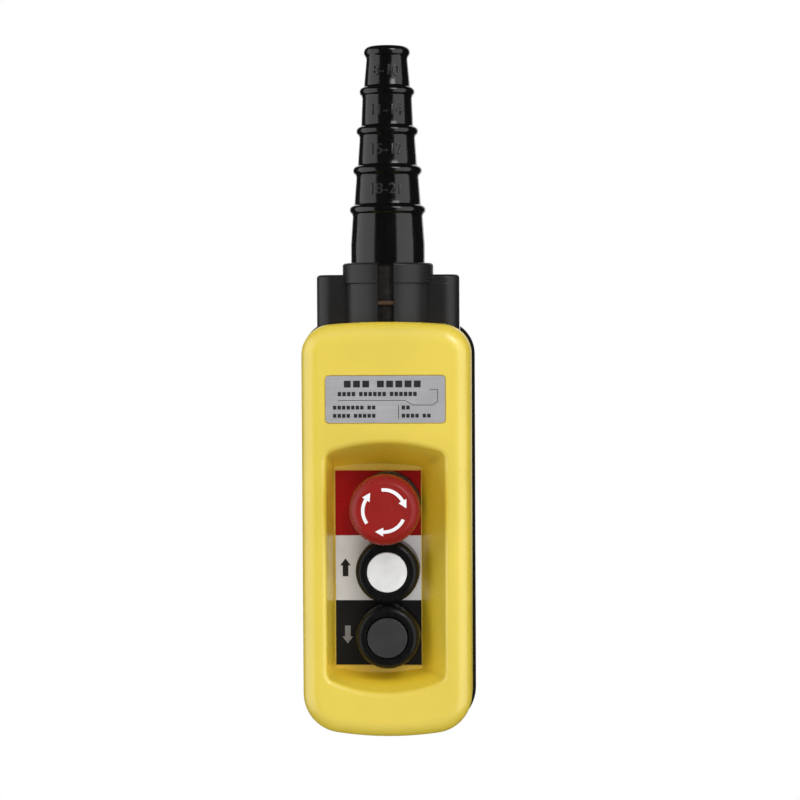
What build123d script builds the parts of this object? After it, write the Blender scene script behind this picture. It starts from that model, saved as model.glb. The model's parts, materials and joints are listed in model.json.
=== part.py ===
from build123d import *

import os

# Pendant control station: a hand-held push-button box that hangs on its own cable.
#
# Frame, in millimetres: the origin is the cable's entry at the top of the rubber sleeve, +Z is up along
# the cable, and the buttons face -Y. The two halves of the case meet at the plane y = 0.

# ---------------------------------------------------------------- driving dimensions

# Case
CASE_WIDTH = 77.0
CASE_TOP = -126.2  # highest point of the crowned top edge
CASE_BOTTOM = -315.0  # lowest point of the crowned bottom edge
TOP_CROWN, BOTTOM_CROWN = 2.4, 4.9  # rise of the top and bottom edges over the case's width
TOP_CORNER_R, BOTTOM_CORNER_R = 14.0, 18.0
WALL = 2.6
FRONT = -28.0  # front face
BACK = 33.0  # rear face
FRONT_EDGE_R, BACK_EDGE_R = 8.0, 8.0
REAR_TAPER = 1.5  # degrees
FIT_GAP = 0.3  # between the case and what stands in its top opening

# Seal between the halves
SEAL_THICK, SEAL_PROUD = 1.6, 1.4

# Button recess: a tub in the front face, with a steep left wall and a sloped right wall
FLOOR = -6.0
FLOOR_THICK = 3.0
RIM = dict(left=-27.2, right=27.2, top=-185.1, bottom=-287.9, top_rise=4.9, bottom_rise=6.6, corner=4.6)
TUB = dict(left=-25.1, right=15.3, top=-193.0, bottom=-286.0, top_rise=1.6, bottom_rise=2.4, corner=1.2)
RIM_EDGE_R = 2.6

# Operators, spaced down the middle of the tub floor
BUTTON_PITCH = 30.0
STOP_Z = -210.0
UP_Z = STOP_Z - BUTTON_PITCH
DOWN_Z = UP_Z - BUTTON_PITCH
OPERATOR_Z = (STOP_Z, UP_Z, DOWN_Z)
TRAVEL = 3.8
RUNNING_GAP = 0.06

# Legend plates, one above the other and set left of the operators' line
LEGEND_LEFT, LEGEND_WIDTH, LEGEND_HEIGHT, LEGEND_THICK = -24.5, 39.5, 30.0, 0.5
LEGEND_TOP = -194.6
SEAT = FLOOR - LEGEND_THICK  # front of the legend plates, where the bezels bear

# Rating plate in its shallow pocket
PLATE_Z, PLATE_WIDTH, PLATE_HEIGHT, PLATE_THICK, PLATE_POCKET = -161.0, 54.0, 21.2, 0.5, 0.6

# Every operator: a barrel through the panel, a ring nut, a stem and its retaining ring
PANEL_HOLE_R = 11.15
BARREL_R, BARREL_BACK = 11.0, 3.0
CUP_R, CUP_FLOOR = 8.9, -4.0  # hollow in the barrel that seats the return spring
SHAFT_R = 5.0
NUT_R, NUT_BACK = 13.8, 1.0
CLIP_R, CLIP_FRONT, CLIP_BACK = 7.0, 3.12, 3.92
GROOVE_R = SHAFT_R - 0.6

# Push buttons
CAP_FRONT, CAP_R, CAP_THICK = -22.0, 9.1, 2.6
STEM_FLANGE_R, STEM_FLANGE_THICK = 8.6, 1.6
PUSH_BEZEL_R, PUSH_BEZEL_FRONT = 13.4, -9.0
BOOT_R, BOOT_MOUTH_R, BOOT_CREST, BOOT_ROUND, BOOT_WALL = 14.55, 9.55, -20.9, 3.5, 1.1

# Emergency stop
HEAD_R = 15.95
FACE_FRONT, RIM_FRONT, RIM_BACK = -43.6, -39.2, -31.6
NECK_R, NECK_FRONT, NECK_BACK = 10.8, -25.0, -13.2
HUB_R, HEAD_CUP_R, HEAD_CUP_FRONT = 6.6, 9.3, -36.0
SPINDLE_R, SPINDLE_FRONT = 4.0, -38.0
STEM_COLLAR_R, STEM_COLLAR_FRONT, STEM_COLLAR_BACK = 8.5, -18.2, -16.6
GUARD_R, GUARD_BORE_R, GUARD_FRONT = 15.1, 12.4, -14.0

# Cable sleeve: a stepped rubber cone, each step cut off to suit a thicker cable
RING_PITCH = 18.05
LIP_Z = -2.6
LIP_R, LIP_NECK_R = 10.55, 9.3
STEP_TOP_R = [9.3, 11.35, 12.7, 14.3, 16.1]
STEP_BOTTOM_R = [10.55, 11.95, 13.6, 15.3, 17.0]
RING_R = [12.6, 14.15, 15.8, 17.45]
RING_HALF = 2.15
BORE_R = [4.0, 5.5, 7.5, 9.0, 11.2]
SLEEVE_FLANGE_R = 20.3

# Shroud with its two side lobes, and the slotted collar round the sleeve
LOBE_TOP = -104.6
LOBE_R, LOBE_X = 7.8, 25.15
COLLAR_TOP, COLLAR_BAND = -99.3, -108.9
COLLAR_R, BAND_R, COLLAR_BORE_R = 20.1, 20.9, 17.05
COLLAR_SLOT = 7.4
PIN_Y, PIN_Z, PIN_R, PIN_LENGTH = 18.15, -117.6, 1.0, 10.0
DECK_TOP, DECK_THICK = -131.0, 3.0  # the shroud's plate, just inside the case
DECK_BOTTOM = DECK_TOP - DECK_THICK
DECK_DEPTH = 38.0
FOOT_BOTTOM = DECK_BOTTOM - DECK_THICK  # feet beside the sleeve's flange, which is as thick as the plate
FOOT_INNER, FOOT_OUTER = 21.0, 31.0
SHELF_THICK = 2.5

# Case screws, three down each side
SCREW_X, SCREW_Z = 32.2, (-150.0, -222.0, -292.0)
SCREW_SEAT = 12.0  # where the heads bear, deep in their pockets
SCREW_HEAD_R, SCREW_HEAD_BACK, SCREW_TIP = 3.5, 15.4, -12.0
WASHER_THICK = 0.8
POCKET_R, REAR_BOSS_R, FRONT_BOSS_R, M4_R = 3.9, 5.6, 3.4, 1.95

# Cable clamp inside the case
CLAMP_X, CLAMP_Z = 15.0, -150.5
CLAMP_POST_FRONT, CLAMP_BAR_FRONT = 4.0, -1.0
CLAMP_ARCH_R = 6.5
CLAMP_SCREW_R, CLAMP_SCREW_TIP = 1.75, 12.5
SADDLE_FRONT = 13.6

# Contact plate and blocks
CONTACT_PLATE_FRONT, CONTACT_PLATE_THICK = 25.5, 1.5
CONTACT_PLATE_WIDTH, CONTACT_PLATE_MARGIN = 46.0, 6.0
PLATE_BOSSES = [(x, z) for x in (-18.5, 18.5) for z in (-193.0, -287.0)]
BLOCK_FRONT, BLOCK_BACK = 8.6, CONTACT_PLATE_FRONT
BLOCK_CORE_W, BLOCK_WIDTH, BLOCK_HEIGHT = 17.0, 30.0, 27.0
BLOCK_WALL, BLOCK_END_WALL = 1.5, 4.0
CARRIER_FRONT, CARRIER_BACK = 4.2, 15.5
CARRIER_W, CARRIER_H, CARRIER_GAP = 6.0, 8.0, 0.15
BRIDGE_FRONT, BRIDGE_THICK, BRIDGE_WIDTH, BRIDGE_HEIGHT = 13.0, 0.8, 13.2, 4.0
STRIP_THICK, STRIP_HEIGHT, STRIP_INNER, STRIP_OUTER = 1.0, 5.0, 4.6, 14.6
OPEN_STRIP_Y = BRIDGE_FRONT + BRIDGE_THICK + TRAVEL + 0.1  # fixed strips of a normally open contact
CLOSED_STRIP_Y = BRIDGE_FRONT - STRIP_THICK - 0.05  # fixed strips of a normally closed contact
TERMINAL_X, TERMINAL_R, TERMINAL_SHANK_R = 11.8, 2.7, 1.45
PEG_Z, PEG_R = 9.0, 1.5

# Finger grooves across the back
GROOVES, GROOVE_TOP, GROOVE_PITCH = 7, -190.0, 12.0
GROOVE_CUT_R, GROOVE_DEPTH, GROOVE_WIDTH = 6.0, 0.9, 46.0

parts = {}


# ---------------------------------------------------------------- small helpers


def facing(y):
    """The plane at depth y whose sketches read as (x, z) and whose normal points to the front."""
    return Plane.XZ.offset(-y)


def slab(sketch, front, back):
    """A sketch in (x, z), extruded between two depths."""
    return extrude(facing(back) * sketch, amount=back - front)


def disc(x, z, radius, front, back):
    return slab(Pos(x, z) * Circle(radius), front, back)


def tube(x, z, outer, inner, front, back):
    return slab(Pos(x, z) * (Circle(outer) - Circle(inner)), front, back)


def block(x, z, width, height, front, back):
    return slab(Pos(x, z) * Rectangle(width, height), front, back)


def prism(sketch, low, high):
    """A sketch in (x, y), extruded between two heights."""
    return extrude(Plane.XY.offset(low) * sketch, amount=high - low)


def turned(lines, z):
    """Revolves a closed outline of (radius, y) lines round the push axis that passes through height z."""
    return Pos(0, 0, z) * revolve(make_face(Curve() + lines), Axis.Y)


def upright(lines):
    """Revolves a closed outline of (radius, z) lines round the cable's axis."""
    return revolve(Plane.XZ * make_face(Curve() + lines), Axis.Z)


def polyline(points):
    """The straight lines that join a run of points."""
    return [Line(a, b) for a, b in zip(points, points[1:])]


def coil(radius, wire, turns, front, back, z):
    """A spring round the push axis at height z, its wire lying between two depths."""
    height = back - front - 2 * wire
    path = Helix(pitch=height / turns, height=height, radius=radius)
    spring = sweep(Plane(origin=path @ 0, z_dir=path % 0) * Circle(wire), path=path)
    return Pos(0, front + wire, z) * (Rot(-90, 0, 0) * spring)


def edges_at(shape, y):
    """The edges of a shape that lie at depth y."""
    return shape.edges().filter_by_position(Axis.Y, y - 0.01, y + 0.01)


def main_solid(shape):
    """The largest solid of a result."""
    return max(shape.solids(), key=lambda solid: solid.volume)


def group(shapes):
    """Separate solids of one kind, kept together as one node."""
    return Compound([main_solid(shape) for shape in shapes])


def slotted_screw(x, z, head_r, shank_r, head_front, head_back, tip):
    """A screw along Y. Its slot is in whichever end of the head faces away from the tip."""
    seat, top = (head_front, head_back) if tip < head_front else (head_back, head_front)
    screw = disc(x, z, head_r, head_front, head_back)
    screw += disc(x, z, shank_r, min(seat, tip), max(seat, tip))
    depth = (head_back - head_front) * 0.45
    return screw - block(x, z, 2 * head_r + 1, 0.26 * head_r, top - depth, top + depth)


# ---------------------------------------------------------------- case


def case_outline(inset=0.0):
    """The case seen from the front: straight sides, crowned ends and round corners."""
    half = CASE_WIDTH / 2 - inset
    top, bottom = CASE_TOP - inset, CASE_BOTTOM + inset
    high, low = top - TOP_CROWN, bottom + BOTTOM_CROWN
    lines = [
        ThreePointArc((-half, high), (0, top), (half, high)),
        Line((half, high), (half, low)),
        ThreePointArc((half, low), (0, bottom), (-half, low)),
        Line((-half, low), (-half, high)),
    ]
    face = make_face(Curve() + lines)
    face = fillet(face.vertices().sort_by(Axis.Y)[-2:], TOP_CORNER_R - inset)
    corners = [v for v in face.vertices() if abs(v.Y - low) < 0.001]
    return fillet(corners, BOTTOM_CORNER_R - inset)


def tub_outline(left, right, top, bottom, top_rise, bottom_rise, corner, grow=0.0):
    """The recess seen from the front: straight sides, and ends that bow outwards."""
    left, right, top, bottom = left - grow, right + grow, top + grow, bottom - grow
    middle = (left + right) / 2
    lines = [
        ThreePointArc((left, top), (middle, top + top_rise), (right, top)),
        Line((right, top), (right, bottom)),
        ThreePointArc((right, bottom), (middle, bottom - bottom_rise), (left, bottom)),
        Line((left, bottom), (left, top)),
    ]
    face = make_face(Curve() + lines)
    return fillet(face.vertices(), corner + grow)


def tub(grow=0.0, deeper=0.0):
    """The recess as a solid: it narrows from the rim at the front face to the floor."""
    rim = facing(FRONT) * tub_outline(**RIM, grow=grow)
    floor = facing(FLOOR + deeper) * tub_outline(**TUB, grow=grow)
    return loft([rim, floor], ruled=True)


def end_opening():
    """The opening in the case's top wall for the shroud's lobes and the collar."""
    lobes = SlotCenterToCenter(2 * LOBE_X, 2 * (LOBE_R + FIT_GAP))
    return prism(lobes + Circle(COLLAR_R + FIT_GAP), DECK_TOP - 1.0, CASE_TOP + 5.0)


def screw_places():
    return [(side * SCREW_X, z) for z in SCREW_Z for side in (-1, 1)]


def shelves(front, back):
    """Ledges inside both side walls, which hold up the feet of the shroud."""
    middle, width = (FOOT_INNER + FOOT_OUTER) / 2, FOOT_OUTER - FOOT_INNER
    z = FOOT_BOTTOM - SHELF_THICK / 2
    return [block(side * middle, z, width, SHELF_THICK, front, back) for side in (-1, 1)]


def front_shell():
    blank = slab(case_outline(), FRONT, 0)
    blank = fillet(edges_at(blank, FRONT), FRONT_EDGE_R) - tub()
    rim_edges = [edge for edge in edges_at(blank, FRONT) if abs(edge.center().X) <= RIM["right"] + 0.1]
    shell = fillet([edge for edge in rim_edges if edge.center().Z < PLATE_Z - 5], RIM_EDGE_R)
    hollow = slab(case_outline(WALL), FRONT + WALL, 0)
    hollow = fillet(edges_at(hollow, FRONT + WALL), FRONT_EDGE_R - WALL)
    hollow -= tub(grow=WALL, deeper=FLOOR_THICK)
    for shelf in shelves(FRONT + WALL - 1, -0.4):
        hollow -= shelf
    shell -= hollow
    pocket = RectangleRounded(PLATE_WIDTH + 0.8, PLATE_HEIGHT + 0.8, 2.0)
    shell -= slab(Pos(0, PLATE_Z) * pocket, FRONT - 1, FRONT + PLATE_POCKET)
    for z in OPERATOR_Z:
        shell -= disc(0, z, PANEL_HOLE_R, FLOOR - 1, FLOOR + FLOOR_THICK + 1)
    for x, z in screw_places():
        shell += disc(x, z, FRONT_BOSS_R, SCREW_TIP - 8.0, SEAL_THICK)
        shell -= disc(x, z, M4_R + 0.05, SCREW_TIP - 2.0, SEAL_THICK + 1)
    return main_solid(shell - end_opening())


def rear_blank(inset=0.0):
    """The rear half, solid, tapering a little towards its rounded back edge."""
    depth = BACK - inset - SEAL_THICK
    blank = extrude(facing(SEAL_THICK) * case_outline(inset), amount=-depth, taper=REAR_TAPER)
    return fillet(edges_at(blank, BACK - inset), BACK_EDGE_R - inset)


def rear_shell():
    hollow = rear_blank(WALL)
    inner = BACK - WALL + 1
    for x, z in screw_places():
        hollow -= disc(x, z, REAR_BOSS_R, SEAL_THICK, BACK)
    for x, z in PLATE_BOSSES:
        hollow -= disc(x, z, 4.0, CONTACT_PLATE_FRONT + CONTACT_PLATE_THICK, inner)
    for x in (-CLAMP_X, CLAMP_X):
        hollow -= disc(x, CLAMP_Z, 4.5, CLAMP_POST_FRONT, inner)
    hollow -= block(0, CLAMP_Z, 2 * CLAMP_X, 7.0, SADDLE_FRONT, inner)
    for shelf in shelves(SEAL_THICK + 0.4, inner):
        hollow -= shelf
    shell = rear_blank() - hollow
    for x, z in screw_places():
        shell -= disc(x, z, POCKET_R, SCREW_SEAT, BACK + 1)
        shell -= disc(x, z, M4_R + 0.15, SEAL_THICK - 1, SCREW_SEAT + 1)
    for x, z in PLATE_BOSSES:
        shell -= disc(x, z, 1.5, CONTACT_PLATE_FRONT, BACK - WALL)
    for x in (-CLAMP_X, CLAMP_X):
        shell -= disc(x, CLAMP_Z, CLAMP_SCREW_R + 0.05, CLAMP_POST_FRONT - 1, CLAMP_SCREW_TIP + 1.0)
    for k in range(GROOVES):
        cutter = Rot(0, 90, 0) * Cylinder(GROOVE_CUT_R, GROOVE_WIDTH)
        shell -= Pos(0, BACK + GROOVE_CUT_R - GROOVE_DEPTH, GROOVE_TOP - k * GROOVE_PITCH) * cutter
    return main_solid(shell - end_opening())


def shell_seal():
    """Rubber seal between the halves, with a rounded lip that stands proud of the case."""
    ring = slab(case_outline(-SEAL_PROUD), 0, SEAL_THICK)
    ring = fillet(ring.edges() - ring.edges().filter_by(Axis.Y), 0.5)
    ring -= slab(case_outline(WALL), -1, SEAL_THICK + 1)
    return main_solid(ring - end_opening())


def rating_plate():
    face = RectangleRounded(PLATE_WIDTH, PLATE_HEIGHT, 1.6)
    return slab(Pos(0, PLATE_Z) * face, FRONT + PLATE_POCKET - PLATE_THICK, FRONT + PLATE_POCKET)


def legend_plate(index):
    """One of the three coloured plates on the tub floor, with the hole for its operator."""
    x = LEGEND_LEFT + LEGEND_WIDTH / 2
    z = LEGEND_TOP - (index + 0.5) * LEGEND_HEIGHT
    plate = block(x, z, LEGEND_WIDTH, LEGEND_HEIGHT - 0.04, SEAT, FLOOR)
    for operator_z in OPERATOR_Z:
        plate -= disc(0, operator_z, PANEL_HOLE_R, SEAT - 1, FLOOR + 1)
    return main_solid(plate)


def case_screws():
    """Six slotted screws, driven from the back into the front half."""
    head_front = SCREW_SEAT + WASHER_THICK
    return group(
        slotted_screw(x, z, SCREW_HEAD_R, M4_R, head_front, SCREW_HEAD_BACK, SCREW_TIP)
        for x, z in screw_places()
    )


def case_screw_washers():
    back = SCREW_SEAT + WASHER_THICK
    return group(tube(x, z, SCREW_HEAD_R + 0.1, M4_R + 0.1, SCREW_SEAT, back) for x, z in screw_places())


# ---------------------------------------------------------------- cable end


def ring_z(index):
    return LIP_Z - RING_PITCH * (index + 1)


def cable_sleeve():
    """Stepped rubber sleeve: a rounded lip, four beads, and a bore that widens at each step."""
    lip_low = 2 * LIP_Z
    outline = [
        Line((BORE_R[0], 0), (LIP_R - 2.0, 0)),
        ThreePointArc((LIP_R - 2.0, 0), (LIP_R - 0.35, 0.37 * LIP_Z), (LIP_R, LIP_Z)),
        ThreePointArc((LIP_R, LIP_Z), (LIP_R - 0.35, 1.55 * LIP_Z), (LIP_NECK_R, lip_low)),
    ]
    start = (LIP_NECK_R, lip_low)
    for k, bead in enumerate(RING_R):
        above = (STEP_BOTTOM_R[k], ring_z(k) + RING_HALF)
        below = (STEP_TOP_R[k + 1], ring_z(k) - RING_HALF)
        outline += [Line(start, above), ThreePointArc(above, (bead, ring_z(k) + 0.1), below)]
        start = below
    foot_r = STEP_BOTTOM_R[-1]
    outline += polyline([
        start,
        (foot_r, ring_z(3) - 16.0),
        (foot_r, DECK_BOTTOM),
        (SLEEVE_FLANGE_R, DECK_BOTTOM),
        (SLEEVE_FLANGE_R, FOOT_BOTTOM),
        (BORE_R[-1], FOOT_BOTTOM),
    ])
    bore = [(BORE_R[-1], FOOT_BOTTOM)]
    for k in range(3, -1, -1):
        taper = BORE_R[k + 1] - BORE_R[k]
        bore += [(BORE_R[k + 1], ring_z(k) - taper / 2), (BORE_R[k], ring_z(k) + taper / 2)]
    outline += polyline(bore + [(BORE_R[0], 0)])
    return main_solid(upright(outline))


def shroud():
    """Two lobes beside the sleeve, on a plate and feet that the case halves hold."""
    lobes = prism(SlotCenterToCenter(2 * LOBE_X, 2 * LOBE_R), DECK_TOP - 0.5, LOBE_TOP)
    top_edges = lobes.edges().filter_by_position(Axis.Z, LOBE_TOP - 0.01, LOBE_TOP + 0.01)
    body = fillet(top_edges, 1.6)
    deck = prism(Rectangle(2 * FOOT_OUTER, DECK_DEPTH), FOOT_BOTTOM, DECK_TOP)
    deck -= prism(Rectangle(2 * FOOT_INNER, DECK_DEPTH + 1), FOOT_BOTTOM - 1, DECK_BOTTOM)
    body += deck & (slab(case_outline(WALL), FRONT + WALL, SEAL_THICK) + rear_blank(WALL))
    body -= prism(Circle(COLLAR_R + 0.1), DECK_TOP, LOBE_TOP + 1)
    body -= prism(Circle(BAND_R + 0.1), COLLAR_BAND, LOBE_TOP + 1)
    body -= prism(Circle(STEP_BOTTOM_R[-1] + 0.05), FOOT_BOTTOM - 1, DECK_TOP + 1)
    return main_solid(body)


def across(x_length, radius, y, z):
    """A round bar along X."""
    return Pos(0, y, z) * (Rot(0, 90, 0) * Cylinder(radius, x_length))


def sleeve_collar():
    """Collar round the sleeve's foot, thicker along its top edge and slotted at the front and back."""
    edge = 1.3
    outline = polyline([
        (BAND_R - edge, COLLAR_TOP),
        (COLLAR_BORE_R, COLLAR_TOP),
        (COLLAR_BORE_R, DECK_TOP),
        (COLLAR_R, DECK_TOP),
        (COLLAR_R, COLLAR_BAND),
        (BAND_R, COLLAR_BAND + 0.5),
        (BAND_R, COLLAR_TOP - edge),
    ])
    middle = (BAND_R - 0.3 * edge, COLLAR_TOP - 0.3 * edge)
    outline.append(ThreePointArc((BAND_R, COLLAR_TOP - edge), middle, (BAND_R - edge, COLLAR_TOP)))
    collar = upright(outline)
    for side in (-1, 1):
        slot = Pos(0, side * BAND_R) * Rectangle(COLLAR_SLOT, 10.0)
        collar -= prism(slot, DECK_TOP + 4.0, COLLAR_TOP + 1)
        collar -= across(PIN_LENGTH, PIN_R, side * PIN_Y, PIN_Z)
    return main_solid(collar)


def collar_pins():
    """A pin across each slot, to take the eye of a support wire."""
    return group(across(PIN_LENGTH, PIN_R, side * PIN_Y, PIN_Z) for side in (-1, 1))


def cable_clamp_bar():
    """Bar that presses the cable into the rear half's saddle, with an arch for the cable."""
    bar = block(0, CLAMP_Z, 2 * CLAMP_X + 10.0, 9.0, CLAMP_BAR_FRONT, CLAMP_POST_FRONT)
    bar = fillet(bar.edges().filter_by(Axis.Y), 3.0)
    bar -= Pos(0, CLAMP_POST_FRONT + 3.0, CLAMP_Z) * Cylinder(CLAMP_ARCH_R, 12.0)
    for x in (-CLAMP_X, CLAMP_X):
        bar -= disc(x, CLAMP_Z, CLAMP_SCREW_R + 0.1, CLAMP_BAR_FRONT - 1, CLAMP_POST_FRONT + 1)
    return main_solid(bar)


def cable_clamp_screws():
    head_back = CLAMP_BAR_FRONT
    head_front = head_back - 2.2
    return group(
        slotted_screw(x, CLAMP_Z, 3.2, CLAMP_SCREW_R, head_front, head_back, CLAMP_SCREW_TIP)
        for x in (-CLAMP_X, CLAMP_X)
    )


# ---------------------------------------------------------------- operators


def bezel(z, flange_r, flange_front):
    """Barrel through the panel hole, with a flange in front and a guide bore for the stem."""
    shape = disc(0, z, flange_r, flange_front, SEAT) + disc(0, z, BARREL_R, SEAT - 0.1, BARREL_BACK)
    shape -= disc(0, z, CUP_R, flange_front - 1, CUP_FLOOR)
    return shape - disc(0, z, SHAFT_R + RUNNING_GAP, CUP_FLOOR - 1, BARREL_BACK + 1)


def barrel_nut(z):
    """Ring nut on the barrel, behind the panel, notched for its spanner."""
    front = FLOOR + FLOOR_THICK
    nut = tube(0, z, NUT_R, BARREL_R + 0.03, front, NUT_BACK)
    for notch in PolarLocations(NUT_R + 0.8, 6):
        nut -= slab(Pos(0, z) * (notch * Circle(1.8)), front - 1, NUT_BACK + 1)
    return main_solid(nut)


def stem_clip(z):
    """Open retaining ring in the stem's groove, behind the barrel."""
    ring = tube(0, z, CLIP_R, GROOVE_R, CLIP_FRONT, CLIP_BACK)
    return main_solid(ring - block(0, z - CLIP_R, GROOVE_R, CLIP_R, CLIP_FRONT - 1, CLIP_BACK + 1))


def grooved(shaft, z):
    """Cuts the retaining ring's groove in a stem."""
    return main_solid(shaft - tube(0, z, SHAFT_R + 1, GROOVE_R, CLIP_FRONT, CLIP_BACK))


def push_bezel(z):
    return main_solid(bezel(z, PUSH_BEZEL_R, PUSH_BEZEL_FRONT))


def push_cap(z):
    """Coloured disc that the finger presses."""
    cap = disc(0, z, CAP_R, CAP_FRONT, CAP_FRONT + CAP_THICK)
    return main_solid(fillet(edges_at(cap, CAP_FRONT), 0.45))


def push_stem(z):
    front = CAP_FRONT + CAP_THICK
    stem = disc(0, z, STEM_FLANGE_R, front, front + STEM_FLANGE_THICK)
    stem += disc(0, z, SHAFT_R, front + STEM_FLANGE_THICK - 0.1, CARRIER_FRONT)
    return grooved(stem, z)


def push_boot(z):
    """Rubber boot: a straight skirt on the legend plate, rounded over to a lip round the cap."""
    inner_r = BOOT_R - BOOT_WALL
    shoulder = BOOT_CREST + BOOT_ROUND
    crest_r = BOOT_R - BOOT_ROUND
    inner_crest = BOOT_CREST + BOOT_WALL
    bend = BOOT_ROUND * (1 - 0.5**0.5)
    inner_bend = (BOOT_ROUND - BOOT_WALL) * (1 - 0.5**0.5)
    outline = polyline([
        (crest_r, BOOT_CREST),
        (BOOT_MOUTH_R, BOOT_CREST),
        (BOOT_MOUTH_R, inner_crest),
        (crest_r, inner_crest),
    ])
    outline.append(ThreePointArc(
        (crest_r, inner_crest), (inner_r - inner_bend, inner_crest + inner_bend), (inner_r, shoulder)))
    outline += polyline([(inner_r, shoulder), (inner_r, SEAT), (BOOT_R, SEAT), (BOOT_R, shoulder)])
    outline.append(ThreePointArc(
        (BOOT_R, shoulder), (BOOT_R - bend, BOOT_CREST + bend), (crest_r, BOOT_CREST)))
    return main_solid(turned(outline, z))


def push_spring(z):
    return coil(6.9, 0.45, 5, CAP_FRONT + CAP_THICK + STEM_FLANGE_THICK + 0.05, CUP_FLOOR - 0.05, z)


def stop_bezel():
    """Barrel of the emergency stop, with a raised guard ring round the head's neck."""
    ring = tube(0, STOP_Z, GUARD_R, GUARD_BORE_R, GUARD_FRONT, SEAT)
    ring = fillet(edges_at(ring, GUARD_FRONT), 0.6)
    return main_solid(bezel(STOP_Z, GUARD_R - 1.0, SEAT - 2.0) + ring)


def stop_head():
    """Mushroom head: slightly domed face, bevelled rim, undercut skirt and a hub on the spindle."""
    bore = SPINDLE_R + RUNNING_GAP
    bore_front = SPINDLE_FRONT - 0.3
    hub_back = STEM_COLLAR_FRONT - 0.2
    bevel = (HEAD_R - 2.6, FACE_FRONT + 0.75)
    outline = [
        ThreePointArc((0, FACE_FRONT), (bevel[0] / 2, FACE_FRONT + 0.19), bevel),
        ThreePointArc(bevel, (HEAD_R - 0.75, FACE_FRONT + 2.2), (HEAD_R, RIM_FRONT)),
    ]
    outline += polyline([
        (HEAD_R, RIM_FRONT),
        (HEAD_R, RIM_BACK),
        (HEAD_R - 0.6, RIM_BACK + 0.7),
        (NECK_R, NECK_FRONT),
        (NECK_R, NECK_BACK),
        (HEAD_CUP_R, NECK_BACK),
        (HEAD_CUP_R, HEAD_CUP_FRONT),
        (HUB_R, HEAD_CUP_FRONT),
        (HUB_R, hub_back),
        (bore, hub_back),
        (bore, bore_front),
        (0, bore_front),
        (0, FACE_FRONT),
    ])
    return main_solid(turned(outline, STOP_Z))


def stop_stem():
    stem = disc(0, STOP_Z, SPINDLE_R, SPINDLE_FRONT, STEM_COLLAR_FRONT + 0.1)
    stem += disc(0, STOP_Z, STEM_COLLAR_R, STEM_COLLAR_FRONT, STEM_COLLAR_BACK)
    stem += disc(0, STOP_Z, SHAFT_R, STEM_COLLAR_BACK - 0.1, CARRIER_FRONT)
    return grooved(stem, STOP_Z)


def stop_spring():
    return coil(6.9, 0.5, 5, STEM_COLLAR_BACK + 0.05, CUP_FLOOR - 0.05, STOP_Z)


def stop_return_spring():
    """Torsion spring round the hub, which turns the head back after it is released."""
    return coil((HUB_R + HEAD_CUP_R) / 2, 0.4, 6, HEAD_CUP_FRONT + 0.2, NECK_FRONT + 1.0, STOP_Z)


# ---------------------------------------------------------------- contact blocks


def contact_plate():
    """Steel plate in the rear half that carries the three contact blocks."""
    back = CONTACT_PLATE_FRONT + CONTACT_PLATE_THICK
    height = len(OPERATOR_Z) * BUTTON_PITCH + 2 * CONTACT_PLATE_MARGIN
    face = RectangleRounded(CONTACT_PLATE_WIDTH, height, 3.0)
    plate = slab(Pos(0, UP_Z) * face, CONTACT_PLATE_FRONT, back)
    holes = [(x, z, 1.7) for x, z in PLATE_BOSSES]
    holes += [(0, z + side * PEG_Z, PEG_R + 0.05) for z in OPERATOR_Z for side in (-1, 1)]
    for x, z, radius in holes:
        plate -= disc(x, z, radius, CONTACT_PLATE_FRONT - 1, back + 1)
    return main_solid(plate)


def contact_plate_screws():
    head_back = CONTACT_PLATE_FRONT
    head_front, tip = head_back - 2.0, BACK - WALL - 0.5
    return group(slotted_screw(x, z, 2.8, 1.45, head_front, head_back, tip) for x, z in PLATE_BOSSES)


def contact_block(z, strip_y):
    """Moulded block: a hollow core for the moving carrier, and a ledge each side for a terminal."""
    ledge = strip_y + STRIP_THICK
    shape = block(0, z, BLOCK_CORE_W, BLOCK_HEIGHT, BLOCK_FRONT, BLOCK_BACK)
    shape += block(0, z, BLOCK_WIDTH, BLOCK_HEIGHT, ledge, BLOCK_BACK)
    for side in (-1, 1):
        shape += disc(0, z + side * PEG_Z, PEG_R, BLOCK_BACK - 0.1, BLOCK_BACK + CONTACT_PLATE_THICK + 0.3)
        shape -= disc(side * TERMINAL_X, z, TERMINAL_SHANK_R + 0.05, ledge - 1, ledge + 5.0)
    core_w, core_h = BLOCK_CORE_W - 2 * BLOCK_WALL, BLOCK_HEIGHT - 2 * BLOCK_END_WALL
    shape -= block(0, z, core_w, core_h, BLOCK_FRONT + BLOCK_WALL, BLOCK_BACK - BLOCK_WALL)
    window_w, window_h = CARRIER_W + 2 * CARRIER_GAP, CARRIER_H + 2 * CARRIER_GAP
    shape -= block(0, z, window_w, window_h, BLOCK_FRONT - 1, BLOCK_FRONT + BLOCK_WALL + 1)
    shape -= block(0, z, BLOCK_WIDTH + 1, STRIP_HEIGHT + 0.1, strip_y, ledge)
    return main_solid(shape)


def contact_carrier(z):
    """Plastic plunger of a contact block, with a window for the moving bridge."""
    carrier = block(0, z, CARRIER_W, CARRIER_H, CARRIER_FRONT, CARRIER_BACK)
    carrier -= block(0, z, CARRIER_W + 1, BRIDGE_HEIGHT, BRIDGE_FRONT, BRIDGE_FRONT + BRIDGE_THICK)
    return main_solid(carrier)


def contact_bridge(z):
    back = BRIDGE_FRONT + BRIDGE_THICK
    return main_solid(block(0, z, BRIDGE_WIDTH, BRIDGE_HEIGHT, BRIDGE_FRONT, back))


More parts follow.
